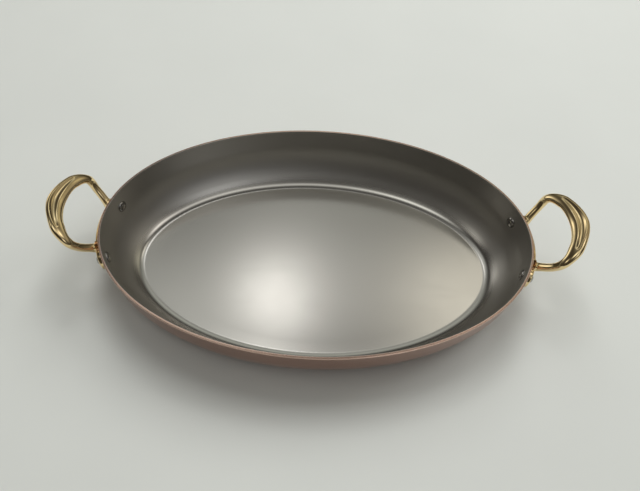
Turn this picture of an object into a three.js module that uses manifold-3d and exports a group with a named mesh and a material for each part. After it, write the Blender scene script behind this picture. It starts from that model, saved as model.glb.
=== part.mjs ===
import * as THREE from 'three';
import { mergeVertices } from 'three/addons/utils/BufferGeometryUtils.js';
import Module from 'manifold-3d';

// Oval gratin pan: a copper shell lined with steel, and two cast loop handles with two rivets each.
// Millimetres. X runs along the pan, Y across it and Z up, from the middle of the base's underside.

// Pan: the sheet, its oval and its cross section
const rimLength = 350;
const rimWidth = 230;
const panHeight = 50;
const copperWall = 1.7;
const steelWall = 0.3;
const wallLeanDegrees = 9;
const bendRadius = 13;
const bendDegrees = 33;
const sweepRadius = 42.5;
const lipRound = 0.6;

// Rivets: where they go through the wall, and their own shape
const rivetArc = 28.9;
const rivetDrop = 15;
const shankRadius = 2.6;
const shankClearance = 0.3;
const seatGap = 0.3;
const headGap = 0.3;
const headRadius = 4.7;
const headHeight = 2.4;
const tailRadius = 3.7;
const tailHeight = 2.6;

// Handle plate: a bar along the wall, with a round lug at each rivet
const plateThickness = 4;
const plateRound = 1;
const lugRadius = 8;
const barDrop = 4;
const barHeight = 8;
const barBlend = 12;

// Handle loop: its foot starts behind the plate, and its other places are counted out from the rim's
// end, up from the rim and sideways from a rivet
const footInboard = 10.3;
const footBelowRivet = -0.2;
const footDepth = 2;
const elbow = { reach: 9.5, rise: 2.4, spread: 1.9 };
const shoulder = { reach: 15.4, rise: 12, spread: 3.8 };
const corner = { reach: 23.9, rise: 18.6, spread: -5.6 };
const crown = { reach: 30.3, rise: 20.7 };
const bladeTiltDegrees = 25;
const footFlare = 2;
const flareLength = 12;
const footSection = { width: 6.6, thickness: 6.4, scoop: 0 };
const elbowSection = { width: 6.2, thickness: 5.6, scoop: 0 };
const shoulderSection = { width: 7.4, thickness: 5.8, scoop: 0 };
const cornerSection = { width: 11.2, thickness: 6.4, scoop: 0.9 };
const crownSection = { width: 14.4, thickness: 7, scoop: 2 };
const sectionSquareness = 2.5;
const scoopOffset = 0.11;
const scoopHalfWidth = 0.23;

// Facets
const roundSteps = 80;
const bendSteps = 2;
const sweepSteps = 5;
const lipSteps = 2;
const edgeSteps = 2;
const lugSteps = 7;
const blendSteps = 6;
const barSteps = 4;
const faceSteps = 3;
const loopSteps = 40;
const sectionSteps = 24;
const rivetSteps = 18;
const domeSteps = 4;

// Values that follow from the sizes above
const quarterTurn = Math.PI / 2;
const halfLength = rimLength / 2;
const halfWidth = rimWidth / 2;
const panWall = copperWall + steelWall;
const wallLean = THREE.MathUtils.degToRad(wallLeanDegrees);
const bladeTilt = THREE.MathUtils.degToRad(bladeTiltDegrees);
const bendTurn = THREE.MathUtils.degToRad(bendDegrees);
const rivetHeight = panHeight - rivetDrop;
const holeRadius = shankRadius + shankClearance;

const wasm = await Module();
wasm.setup();

// A closed geometry as a solid for joining and cutting
function toSolid(geometry) {
  const bare = geometry.clone();
  bare.deleteAttribute('normal');
  bare.deleteAttribute('uv');
  const merged = mergeVertices(bare);
  const vertProperties = merged.getAttribute('position').array;
  const triVerts = Uint32Array.from(merged.getIndex().array);
  return new wasm.Manifold(new wasm.Mesh({ numProp: 3, vertProperties, triVerts }));
}

// The solid back as a geometry with flat facets
function toGeometry(solid) {
  const { vertProperties, triVerts } = solid.getMesh();
  const indexed = new THREE.BufferGeometry();
  indexed.setAttribute('position', new THREE.BufferAttribute(vertProperties, 3));
  indexed.setIndex(new THREE.BufferAttribute(triVerts, 1));
  const faceted = indexed.toNonIndexed();
  faceted.computeVertexNormals();
  return faceted;
}

// Rings of points joined into one closed skin, with a fan over the first and the last ring.
// Seen from outside, ring to ring is forwards and point to point is to the left.
function skin(rings, falling = false, poles = null) {
  const count = rings[0].length;
  const points = rings.flat();
  const [firstPole, lastPole] = poles ?? [centreOf(rings[0]), centreOf(rings.at(-1))];
  const first = points.push(firstPole) - 1;
  const last = points.push(lastPole) - 1;
  const index = [];
  for (let ring = 0; ring + 1 < rings.length; ring += 1) {
    for (let step = 0; step < count; step += 1) {
      const next = (step + 1) % count;
      const a = ring * count + step;
      const b = ring * count + next;
      const c = (ring + 1) * count + next;
      const d = (ring + 1) * count + step;
      index.push(...(falling ? [a, b, d, b, c, d] : [a, b, c, a, c, d]));
    }
  }
  for (let step = 0; step < count; step += 1) {
    const next = (step + 1) % count;
    const end = (rings.length - 1) * count;
    index.push(first, next, step, last, end + step, end + next);
  }
  const geometry = new THREE.BufferGeometry().setFromPoints(points);
  geometry.setIndex(index);
  return geometry;
}

function centreOf(ring) {
  const sum = new THREE.Vector3();
  ring.forEach((point) => sum.add(point));
  return sum.divideScalar(ring.length);
}

// A plan point of the oval, moved in from the rim along the oval's own normal
function ovalPoint(angle, inset) {
  const normal = ovalNormal(angle);
  const rim = new THREE.Vector2(halfLength * Math.cos(angle), halfWidth * Math.sin(angle));
  return rim.addScaledVector(normal, -inset);
}

function ovalNormal(angle) {
  return new THREE.Vector2(Math.cos(angle) / halfLength, Math.sin(angle) / halfWidth).normalize();
}

// The oval's angle at a length of rim, counted from the pan's end
const quarterRim = new THREE.EllipseCurve(0, 0, halfLength, halfWidth, 0, quarterTurn);
quarterRim.arcLengthDivisions = 1000;

function angleAtArc(arc) {
  return Math.sign(arc) * quarterRim.getUtoTmapping(0, Math.abs(arc)) * quarterTurn;
}

// Cross section of the wall: depth is counted from the outside, inset from the rim's outer edge.
// The wall leaves the floor through a tight bend, sweeps up on a wide one and runs straight to the
// lip. Each of the two has one centre for every depth, so that the wall is as thick all the way up.
const bendHeight = panWall + bendRadius;
const sweepHeight = bendHeight + (sweepRadius - bendRadius) * Math.cos(bendTurn);

function sweepRadiusAt(depth) {
  return panWall + sweepRadius - depth;
}

function tangentHeight(depth) {
  return sweepHeight - sweepRadiusAt(depth) * Math.sin(wallLean);
}

const sweepInset = sweepRadiusAt(0) * Math.cos(wallLean)
  + (panHeight - tangentHeight(0)) * Math.tan(wallLean);
const bendInset = sweepInset - (sweepRadius - bendRadius) * Math.sin(bendTurn);

function sideInset(depth, height) {
  const foot = sweepInset - sweepRadiusAt(depth) * Math.cos(wallLean);
  return foot - (height - tangentHeight(depth)) * Math.tan(wallLean);
}

// Points on a round stretch of the wall, between two tilts from upright
function arcPoints({ inset, height }, radius, fromTilt, toTilt, steps) {
  const points = [];
  for (let step = 0; step <= steps; step += 1) {
    const tilt = THREE.MathUtils.lerp(fromTilt, toTilt, step / steps);
    points.push({ inset: inset - radius * Math.cos(tilt), height: height - radius * Math.sin(tilt) });
  }
  return points;
}

// The wall at a depth as points from the lip down to the floor's edge
function wallProfile(depth) {
  const lip = { inset: sideInset(depth, panHeight), height: panHeight };
  const bendTilt = quarterTurn - bendTurn;
  const sweepCentre = { inset: sweepInset, height: sweepHeight };
  const bendCentre = { inset: bendInset, height: bendHeight };
  const sweep = arcPoints(sweepCentre, sweepRadiusAt(depth), wallLean, bendTilt, sweepSteps);
  const bend = arcPoints(bendCentre, bendHeight - depth, bendTilt, quarterTurn, bendSteps);
  return [lip, ...sweep, ...bend.slice(1)];
}

// The outside of the wall with its lip rounded over, from the lip down
function outerProfile() {
  const [lip, ...below] = wallProfile(0);
  const rounded = [];
  for (let step = 0; step <= lipSteps; step += 1) {
    const turn = quarterTurn * (1 - step / lipSteps);
    const height = lip.height - lipRound + lipRound * Math.sin(turn);
    const inset = sideInset(0, height) + lipRound * (1 - Math.cos(turn));
    rounded.push({ inset, height });
  }
  return [...rounded, ...below];
}

// A wall of revolution about the oval: one ring for each profile point, fans over the floor
function ovalSolid(profile, falling) {
  const rings = profile.map(({ inset, height }) => {
    const ring = [];
    for (let step = 0; step < roundSteps; step += 1) {
      const plan = ovalPoint((2 * Math.PI * step) / roundSteps, inset);
      ring.push(new THREE.Vector3(plan.x, plan.y, height));
    }
    return ring;
  });
  const poles = [rings[0], rings.at(-1)].map((ring) => new THREE.Vector3(0, 0, ring[0].z));
  return toSolid(skin(rings, falling, poles));
}

// Where the outside of the wall is at a length of rim and a height, and the way it faces
function wallFrame(arc, height) {
  const angle = angleAtArc(arc);
  const onSide = height >= tangentHeight(0);
  const tilt = onSide ? wallLean : Math.asin((sweepHeight - height) / sweepRadiusAt(0));
  const inset = onSide ? sideInset(0, height) : sweepInset - sweepRadiusAt(0) * Math.cos(tilt);
  const plan = ovalPoint(angle, inset);
  const across = ovalNormal(angle).multiplyScalar(Math.cos(tilt));
  return {
    origin: new THREE.Vector3(plan.x, plan.y, height),
    normal: new THREE.Vector3(across.x, across.y, -Math.sin(tilt)),
  };
}

function outFromWall(arc, height, out) {
  const { origin, normal } = wallFrame(arc, height);
  return origin.addScaledVector(normal, out);
}

// A turned shape lies along Y until it is laid along an axis
function alongAxis(object, origin, axis) {
  object.position.copy(origin);
  object.quaternion.setFromUnitVectors(new THREE.Vector3(0, 1, 0), axis);
  return object;
}

// The drill for one rivet hole, long enough to go through the wall and the plate
const plateOut = seatGap + plateThickness;
const gripLength = panWall + plateOut;

function rivetHole(arc) {
  const drill = new THREE.Object3D();
  const { origin, normal } = wallFrame(arc, rivetHeight);
  alongAxis(drill, origin, normal);
  drill.updateMatrix();
  const bit = new THREE.CylinderGeometry(holeRadius, holeRadius, 4 * gripLength, rivetSteps);
  return toSolid(bit.applyMatrix4(drill.matrix));
}

const endHoles = rivetHole(rivetArc).add(rivetHole(-rivetArc));
const allHoles = endHoles.add(endHoles.rotate([0, 0, 180]));

// Copper shell: up the outside, over the lip and down the face that the steel is bonded to
function copperShell() {
  const outside = outerProfile().reverse();
  const inside = wallProfile(copperWall);
  return toGeometry(ovalSolid([...outside, ...inside], false).subtract(allHoles));
}

// Steel lining: up the bonded face and down the cooking face
function steelLining() {
  const bonded = wallProfile(copperWall).reverse();
  const cooking = wallProfile(panWall);
  return toGeometry(ovalSolid([...bonded, ...cooking], true).subtract(allHoles));
}

// The plate's lower and upper edge at a length of rim: a bar, blending into a round lug at the rivet
function plateEdges(arc) {
  const beyond = Math.abs(arc) - rivetArc;
  const half = Math.sqrt(lugRadius ** 2 - Math.max(beyond, 0) ** 2);
  const bar = THREE.MathUtils.smoothstep(-beyond, 0, barBlend);
  const barTop = panHeight - barDrop;
  return {
    low: THREE.MathUtils.lerp(rivetHeight - half, barTop - barHeight, bar),
    high: THREE.MathUtils.lerp(rivetHeight + half, barTop, bar),
  };
}

// One half of the plate's stations, from its middle to the lug's tip
function plateStations() {
  const stations = [];
  const blendStart = rivetArc - barBlend;
  for (let step = 0; step < barSteps; step += 1) {
    stations.push((blendStart * step) / barSteps);
  }
  for (let step = 0; step < blendSteps; step += 1) {
    stations.push(blendStart + (barBlend * step) / blendSteps);
  }
  for (let step = 0; step < lugSteps; step += 1) {
    stations.push(rivetArc + lugRadius * Math.sin((quarterTurn * step) / lugSteps));
  }
  return stations;
}

// Points that follow the wall from one height to another, on one of the plate's two faces
function alongWall(arc, fromHeight, toHeight, out) {
  const points = [];
  for (let step = 0; step <= faceSteps; step += 1) {
    points.push(outFromWall(arc, THREE.MathUtils.lerp(fromHeight, toHeight, step / faceSteps), out));
  }
  return points;
}

// A slice through the plate: up its outer face, with both edges rounded over, and down its wall face
function plateSlice(arc) {
  const { low, high } = plateEdges(arc);
  const lowEdge = [];
  const highEdge = [];
  for (let step = 0; step <= edgeSteps; step += 1) {
    const turn = (quarterTurn * step) / edgeSteps;
    const inward = plateRound * (1 - Math.cos(turn));
    const out = plateOut - plateRound * (1 - Math.sin(turn));
    lowEdge.push(outFromWall(arc, low + inward, out));
    highEdge.unshift(outFromWall(arc, high - inward, out));
  }
  const outerFace = alongWall(arc, low + plateRound, high - plateRound, plateOut).slice(1, -1);
  const wallFace = alongWall(arc, high, low, seatGap);
  return [...lowEdge, ...outerFace, ...highEdge, ...wallFace];
}

function handlePlate() {
  const half = plateStations();
  const stations = [...half.slice(1).map((arc) => -arc).reverse(), ...half];
  return toSolid(skin(stations.map((arc) => plateSlice(arc).reverse())));
}

// The loop's centreline: out of the plate, up and outwards, round the grip and back
function loopStations() {
  const foot = outFromWall(rivetArc - footInboard, rivetHeight - footBelowRivet, -footDepth);
  const rivetSide = ovalPoint(angleAtArc(rivetArc), 0).y;
  const place = ({ reach, rise, spread }) => (
    new THREE.Vector3(halfLength + reach, rivetSide + spread, panHeight + rise)
  );
  return [
    { point: foot, section: footSection },
    { point: place(elbow), section: elbowSection },
    { point: place(shoulder), section: shoulderSection },
    { point: place(corner), section: cornerSection },
    { point: place({ ...crown, spread: -rivetSide }), section: crownSection },
  ];
}

// A section across the loop: a rounded bar, with the scoop pressed into its upper side
function loopSection({ width, thickness, scoop }) {
  const power = 2 / sectionSquareness;
  const outline = [];
  for (let step = 0; step < sectionSteps; step += 1) {
    const turn = (2 * Math.PI * step) / sectionSteps;
    const across = (width / 2) * Math.sign(Math.cos(turn)) * Math.abs(Math.cos(turn)) ** power;
    const up = (thickness / 2) * Math.sign(Math.sin(turn)) * Math.abs(Math.sin(turn)) ** power;
    const fromScoop = Math.abs(across / width - scoopOffset) / scoopHalfWidth;
    const pressed = up > 0 && fromScoop < 1 ? scoop * Math.cos(quarterTurn * fromScoop) ** 2 : 0;
    outline.push(new THREE.Vector2(across, up - pressed));
  }
  return outline;
}

function handleLoop() {
  const half = loopStations();
  const mirrored = half.slice(0, -1).reverse().map(({ point, section }) => (
    { point: new THREE.Vector3(point.x, -point.y, point.z), section }
  ));
  const stations = [...half, ...mirrored];
  const centreline = new THREE.CatmullRomCurve3(stations.map(({ point }) => point));
  const length = centreline.getLength();
  const sizeAlong = (t, name) => {
    const place = t * (stations.length - 1);
    const before = Math.min(Math.floor(place), stations.length - 2);
    const [here, there] = [stations[before].section, stations[before + 1].section];
    return THREE.MathUtils.lerp(here[name], there[name], THREE.MathUtils.smoothstep(place - before, 0, 1));
  };
  const blade = new THREE.Vector3(-Math.sin(bladeTilt), 0, Math.cos(bladeTilt));
  const rings = [];
  for (let step = 0; step <= loopSteps; step += 1) {
    const t = step / loopSteps;
    const tangent = centreline.getTangent(t);
    const up = blade.clone().addScaledVector(tangent, -blade.dot(tangent)).normalize();
    const out = new THREE.Vector3().crossVectors(up, tangent);
    const fromFoot = Math.min(t, 1 - t) * length;
    const flare = footFlare * (1 - THREE.MathUtils.smoothstep(fromFoot, 0, flareLength));
    const outline = loopSection({
      width: sizeAlong(t, 'width') + flare,
      thickness: sizeAlong(t, 'thickness') + flare,
      scoop: sizeAlong(t, 'scoop'),
    });
    const centre = centreline.getPoint(t);
    rings.push(outline.map(({ x, y }) => centre.clone().addScaledVector(out, x).addScaledVector(up, y)));
  }
  return toSolid(skin(rings));
}

// The pan filled to its rim and grown by the seat's gap, which the feet of the loop stop at
const panBlock = ovalSolid(wallProfile(-seatGap).reverse(), false);

// Cast handle: plate and loop in one piece, drilled for its rivets
function castHandle() {
  return toGeometry(handlePlate().add(handleLoop().subtract(panBlock)).subtract(endHoles));
}

// Rivet: a domed head inside the pan, a shank through the wall and the plate, and the hammered tail.
// It is turned about Y, with the head's seat at the origin and the tail towards +Y. The head stands
// further off than the tail, because the wall is hollow on its side.
function rivetGeometry() {
  const shankLength = headGap + gripLength + seatGap;
  const profile = [];
  for (let step = 0; step <= domeSteps; step += 1) {
    const turn = (quarterTurn * step) / domeSteps;
    profile.push(new THREE.Vector2(headRadius * Math.sin(turn), -headHeight * Math.cos(turn)));
  }
  profile.push(new THREE.Vector2(shankRadius, 0), new THREE.Vector2(shankRadius, shankLength));
  for (let step = 0; step <= domeSteps; step += 1) {
    const turn = (quarterTurn * step) / domeSteps;
    profile.push(new THREE.Vector2(tailRadius * Math.cos(turn), shankLength + tailHeight * Math.sin(turn)));
  }
  profile[0].x = 0;
  profile.at(-1).x = 0;
  return new THREE.LatheGeometry(profile, rivetSteps);
}

// Finishes
const copper = { color: 0xc8835f, roughness: 0.22, metalness: 1 };
const steel = { color: 0xa8a69e, roughness: 0.38, metalness: 1 };
const bronze = { color: 0xd3a85a, roughness: 0.15, metalness: 1 };
const rivetSteel = { color: 0x6e6c66, roughness: 0.3, metalness: 1 };

function piece(name, geometry, finish) {
  const mesh = new THREE.Mesh(geometry, new THREE.MeshStandardMaterial(finish));
  mesh.name = name;
  return mesh;
}

// Assembly: everything at the right end is repeated at the left end, turned half round
const pan = new THREE.Group();
pan.add(piece('copper_shell', copperShell(), copper));
pan.add(piece('steel_lining', steelLining(), steel));

for (const [end, turn] of [['right', 0], ['left', Math.PI]]) {
  const fitting = new THREE.Group();
  fitting.rotation.z = turn;
  fitting.add(piece(`handle_${end}`, castHandle(), bronze));
  for (const side of [1, -1]) {
    const place = (side > 0) === (end === 'right') ? 'back' : 'front';
    const rivet = piece(`rivet_${end}_${place}`, rivetGeometry(), rivetSteel);
    const { origin, normal } = wallFrame(side * rivetArc, rivetHeight);
    alongAxis(rivet, origin.addScaledVector(normal, -panWall - headGap), normal);
    fitting.add(rivet);
  }
  pan.add(fitting);
}

export default pan;
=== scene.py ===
"""Oval gratin pan: a copper shell lined with steel, two cast loop handles and four rivets.

The sizes of the pan, the handles and the rivets are in millimetres until a mesh is made, which
is in metres. X runs along the pan, Y across it and Z up, from the middle of the base's underside.
"""

from __future__ import annotations

import logging
import math
from dataclasses import dataclass
from enum import Enum

import bmesh
import bpy
import numpy as np
from mathutils import Matrix, Vector


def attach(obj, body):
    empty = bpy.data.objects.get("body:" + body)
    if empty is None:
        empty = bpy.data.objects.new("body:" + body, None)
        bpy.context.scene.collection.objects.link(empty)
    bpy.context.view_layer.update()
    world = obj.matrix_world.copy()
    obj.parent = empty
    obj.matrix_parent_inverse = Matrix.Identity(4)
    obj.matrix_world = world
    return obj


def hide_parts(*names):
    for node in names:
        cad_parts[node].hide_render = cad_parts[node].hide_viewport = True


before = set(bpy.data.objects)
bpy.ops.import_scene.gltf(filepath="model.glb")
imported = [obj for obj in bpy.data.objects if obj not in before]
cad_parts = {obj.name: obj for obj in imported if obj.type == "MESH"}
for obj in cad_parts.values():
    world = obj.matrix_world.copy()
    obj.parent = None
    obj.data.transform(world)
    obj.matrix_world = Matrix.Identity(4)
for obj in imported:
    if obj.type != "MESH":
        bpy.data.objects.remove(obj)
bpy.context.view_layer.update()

log = logging.getLogger("gratin_pan")

Array = np.ndarray
Three = tuple[float, float, float]
Colour = Three
MM = 0.001
QUARTER = math.pi / 2
FULL = 2 * math.pi
GRAIN = "grain"
MERGE_WITHIN = 1e-7
SHRUNK_TO_NOTHING = 1e-8


# Meshes from grids of points


@dataclass
class Skin:
    """A closed skin: rings of points, each ring joined to the next, with a fan over both ends.

    Seen from outside, ring to ring is forwards and point to point is to the left. `poles` are
    the middles of the two fans, or nothing where the end rings are folded shut on themselves.
    `grain` holds a vector for each point that a pattern can follow, in millimetres.
    """

    rings: Array
    poles: Array | None
    grain: Array | None = None

    def turned(self, signs: Array) -> Skin:
        """The skin with its coordinates multiplied by three signs, for a half turn about Z."""
        poles = None if self.poles is None else self.poles * signs
        return Skin(self.rings * signs, poles, self.grain)

    def arrays(self) -> tuple[Array, Array, Array, Array]:
        """Lay the rings and poles out as one list of points with its faces.

        Returns:
            Points, four-cornered faces, three-cornered faces, and the grain of each point.
        """
        rows, columns = self.rings.shape[:2]
        index = np.arange(rows * columns).reshape(rows, columns)
        left = np.roll(index, -1, axis=1)
        quads = np.stack([index[:-1], left[:-1], left[1:], index[1:]], axis=-1).reshape(-1, 4)
        points = self.rings.reshape(-1, 3)
        grain = points if self.grain is None else self.grain.reshape(-1, 3)
        if self.poles is None:
            return points, quads, np.empty((0, 3), int), grain
        first = np.full(columns, rows * columns)
        last = first + 1
        fans = np.concatenate([
            np.stack([first, left[0], index[0]], axis=-1),
            np.stack([last, index[-1], left[-1]], axis=-1),
        ])
        ends = self.poles if self.grain is None else self.grain[[0, -1]].mean(axis=1)
        return np.vstack([points, self.poles]), quads, fans, np.vstack([grain, ends])


def build_mesh(name: str, skins: list[Skin], sharp_degrees: float = 40.0) -> bpy.types.Object:
    """Make one smooth-shaded object from closed skins.

    Args:
        name: The object's name.
        skins: Closed skins in millimetres.
        sharp_degrees: Edges that turn by more than this are left sharp.

    Returns:
        The object, linked to the scene, with its place in its mesh.
    """
    parts, offset = [], 0
    for skin in skins:
        points, quads, fans, grains = skin.arrays()
        parts.append((points, quads + offset, fans + offset, grains))
        offset += len(points)
    points, quads, fans, grains = (np.vstack(column) for column in zip(*parts))
    corners = np.concatenate([quads.ravel(), fans.ravel()])
    starts = np.concatenate([np.arange(len(quads)) * 4, quads.size + np.arange(len(fans)) * 3])
    mesh = bpy.data.meshes.new(name)
    mesh.vertices.add(len(points))
    mesh.vertices.foreach_set("co", (points * MM).astype(np.float32).ravel())
    mesh.loops.add(len(corners))
    mesh.loops.foreach_set("vertex_index", corners.astype(np.int32))
    mesh.polygons.add(len(starts))
    mesh.polygons.foreach_set("loop_start", starts.astype(np.int32))
    mesh.polygons.foreach_set("use_smooth", np.ones(len(starts), dtype=bool))
    grain = mesh.attributes.new(GRAIN, "FLOAT_VECTOR", "POINT")
    grain.data.foreach_set("vector", (grains * MM).astype(np.float32).ravel())
    mesh.update(calc_edges=True)
    merge_doubles(mesh)
    mesh.set_sharp_from_angle(angle=math.radians(sharp_degrees))
    piece = bpy.data.objects.new(name, mesh)
    bpy.context.scene.collection.objects.link(piece)
    return piece


def merge_doubles(mesh: bpy.types.Mesh) -> None:
    """Merge the points that lie on one another, which closes seams and poles.

    Args:
        mesh: The mesh, which is changed in place.
    """
    work = bmesh.new()
    work.from_mesh(mesh)
    bmesh.ops.remove_doubles(work, verts=work.verts, dist=MERGE_WITHIN)
    bmesh.ops.dissolve_degenerate(work, edges=work.edges, dist=SHRUNK_TO_NOTHING)
    work.to_mesh(mesh)
    work.free()
    mesh.validate()


def unit(vectors: Array) -> Array:
    """Each vector divided by its length."""
    return vectors / np.linalg.norm(vectors, axis=-1, keepdims=True)


def circle(angle: Array) -> Array:
    """The cosine and the sine of each angle, side by side."""
    return np.stack([np.cos(angle), np.sin(angle)], axis=-1)


def smoothstep(value: Array, low: float, high: float) -> Array:
    """Zero below low, one above high, and 3 t squared minus 2 t cubed between them."""
    t = np.clip((value - low) / (high - low), 0.0, 1.0)
    return t * t * (3.0 - 2.0 * t)


# The pan's oval and its wall


@dataclass(frozen=True)
class PanShape:
    """Sizes of the pan, and the places on its wall that follow from them.

    Depth is counted inwards from the outside of the wall, inset inwards from the rim's outer
    edge in plan, arc along the rim from the pan's right end, and out off the outside of the wall.
    """

    rim_length: float = 350.0
    rim_width: float = 230.0
    height: float = 50.0
    copper: float = 1.7
    steel: float = 0.3
    lean_degrees: float = 9.0
    bend_radius: float = 13.0
    bend_degrees: float = 33.0
    sweep_radius: float = 42.5
    lip_round: float = 0.6
    arc_samples: int = 4001
    newton_steps: int = 5

    @property
    def wall(self) -> float:
        """Copper and steel together."""
        return self.copper + self.steel

    @property
    def lean(self) -> float:
        """The wall's lean in radians."""
        return math.radians(self.lean_degrees)

    @property
    def half_axes(self) -> Array:
        """The oval's half length and half width."""
        return np.array([self.rim_length, self.rim_width]) / 2

    @property
    def bend_turn(self) -> float:
        """How far the tight bend at the floor's edge turns, in radians."""
        return math.radians(self.bend_degrees)

    @property
    def bend_height(self) -> float:
        """Height of the centre that the bend turns about."""
        return self.wall + self.bend_radius

    @property
    def sweep_height(self) -> float:
        """Height of the sweep's centre, on the line from the bend's end through its centre."""
        return self.bend_height + (self.sweep_radius - self.bend_radius) * math.cos(self.bend_turn)

    @property
    def sweep_inset(self) -> float:
        """Inset of the sweep's centre: its own reach plus what the lean adds above it."""
        rise = self.height - self.tangent_height(0.0)
        return self.sweep_reach(0.0) * math.cos(self.lean) + rise * math.tan(self.lean)

    @property
    def bend_inset(self) -> float:
        """Inset of the bend's centre, which is the floor's edge."""
        return self.sweep_inset - (self.sweep_radius - self.bend_radius) * math.sin(self.bend_turn)

    def sweep_reach(self, depth: float) -> float:
        """Radius of the wide sweep of one face of the wall."""
        return self.wall + self.sweep_radius - depth

    def tangent_height(self, depth: float) -> float:
        """Height at which the sweep meets the straight wall."""
        return self.sweep_height - self.sweep_reach(depth) * math.sin(self.lean)

    def side_inset(self, depth: float, height: Array | float) -> Array | float:
        """Inset of the straight wall at a height: its foot, less the lean's share of the rise."""
        foot = self.sweep_inset - self.sweep_reach(depth) * math.cos(self.lean)
        return foot - (height - self.tangent_height(depth)) * math.tan(self.lean)

    def turns(self, depth: float, bend_steps: int, sweep_steps: int) -> Array:
        """The bend and the sweep from the floor up to the straight wall, two circular arcs.

        Args:
            depth: Which face, counted from the outside.
            bend_steps: How many equal turns the bend is cut into.
            sweep_steps: How many the sweep is cut into.

        Returns:
            Rows of inset and height: each arc's centre, less its radius times the cosine and
            the sine of the tilt from upright.
        """
        meeting = QUARTER - self.bend_turn
        bend = np.linspace(QUARTER, meeting, bend_steps + 1)[:-1]
        sweep = np.linspace(meeting, self.lean, sweep_steps + 1)
        tilt = np.concatenate([bend, sweep])
        in_bend = np.arange(len(tilt)) < len(bend)
        inset = np.where(in_bend, self.bend_inset, self.sweep_inset)
        height = np.where(in_bend, self.bend_height, self.sweep_height)
        radius = np.where(in_bend, self.bend_height - depth, self.sweep_reach(depth))
        return np.column_stack([inset - radius * np.cos(tilt), height - radius * np.sin(tilt)])

    def tilt_at(self, height: Array) -> Array:
        """The wall's tilt from upright: the lean above the sweep, and the sweep's own below."""
        below = np.clip((self.sweep_height - height) / self.sweep_reach(0.0), 0.0, 1.0)
        return np.where(height >= self.tangent_height(0.0), self.lean, np.arcsin(below))

    def normal(self, angle: Array) -> Array:
        """Plan normal of the oval: the cosine and sine, each over its half axis, made unit."""
        return unit(circle(angle) / self.half_axes)

    def oval(self, angle: Array, inset: Array | float) -> Array:
        """Plan point of the oval, moved in from the rim along the oval's own normal."""
        rim = circle(angle) * self.half_axes
        return rim - np.expand_dims(np.asarray(inset), -1) * self.normal(angle)

    def angle_at(self, arc: Array) -> Array:
        """The oval's angle at a length of rim, read from the summed lengths of short chords.

        Args:
            arc: Lengths along the rim from the pan's right end, positive towards the back.

        Returns:
            The angles in radians.
        """
        angles = np.linspace(0.0, QUARTER, self.arc_samples)
        steps = np.diff(self.oval(angles, 0.0), axis=0)
        lengths = np.concatenate([[0.0], np.cumsum(np.linalg.norm(steps, axis=1))])
        return np.sign(arc) * np.interp(np.abs(arc), lengths, angles)

    def wall_normal(self, arc: Array, height: Array) -> Array:
        """The way the outside of the wall faces: the oval's normal, tipped down by the wall's tilt.

        Args:
            arc: Lengths along the rim.
            height: Heights above the base.

        Returns:
            Unit vectors.
        """
        arc, height = np.broadcast_arrays(np.asarray(arc, float), height)
        tilt = self.tilt_at(height)[..., None]
        plan = self.normal(self.angle_at(arc)) * np.cos(tilt)
        return np.concatenate([plan, -np.sin(tilt)], axis=-1)

    def on_wall(self, arc: Array, height: Array, out: Array | float) -> Array:
        """Points off the outside of the wall, along the way that it faces.

        The place on the wall is inset by the straight wall's foot and lean above the sweep, and
        by the sweep's centre less its reach times the cosine of the tilt below.

        Args:
            arc: Lengths along the rim.
            height: Heights of the places on the wall.
            out: Distances off the wall.

        Returns:
            The points.
        """
        arc, height, out = np.broadcast_arrays(np.asarray(arc, float), height, out)
        swept = self.sweep_inset - self.sweep_reach(0.0) * np.cos(self.tilt_at(height))
        straight = self.side_inset(0.0, height)
        inset = np.where(height >= self.tangent_height(0.0), straight, swept)
        plan = self.oval(self.angle_at(arc), inset)
        foot = np.concatenate([plan, height[..., None]], axis=-1)
        return foot + out[..., None] * self.wall_normal(arc, height)

    def out_of_wall(self, points: Array) -> Array:
        """How far points lie off the outside of the wall.

        The nearest place on the oval is found by Newton's steps on its angle. Above the sweep
        the inset there is set against the straight wall's, and below it the distance to the
        sweep's centre against its radius.

        Args:
            points: Points anywhere near the wall.

        Returns:
            Their distances, positive outside the pan.
        """
        a, b = self.half_axes
        x, y = points[..., 0], points[..., 1]
        angle = np.arctan2(y * a, x * b)
        for _ in range(self.newton_steps):
            cos, sin = np.cos(angle), np.sin(angle)
            past_x, past_y = x - a * cos, y - b * sin
            slope = past_x * -a * sin + past_y * b * cos
            bend = -((a * sin) ** 2 + (b * cos) ** 2) - past_x * a * cos - past_y * b * sin
            angle = angle - slope / bend
        offset = points[..., :2] - self.oval(angle, 0.0)
        beyond = (offset * self.normal(angle)).sum(axis=-1)
        straight = (beyond + self.side_inset(0.0, points[..., 2])) * math.cos(self.lean)
        out, down = self.sweep_inset + beyond, self.sweep_height - points[..., 2]
        swept = np.hypot(out, down) - self.sweep_reach(0.0)
        return np.where(np.arctan2(down, out) < self.lean, straight, swept)


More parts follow.
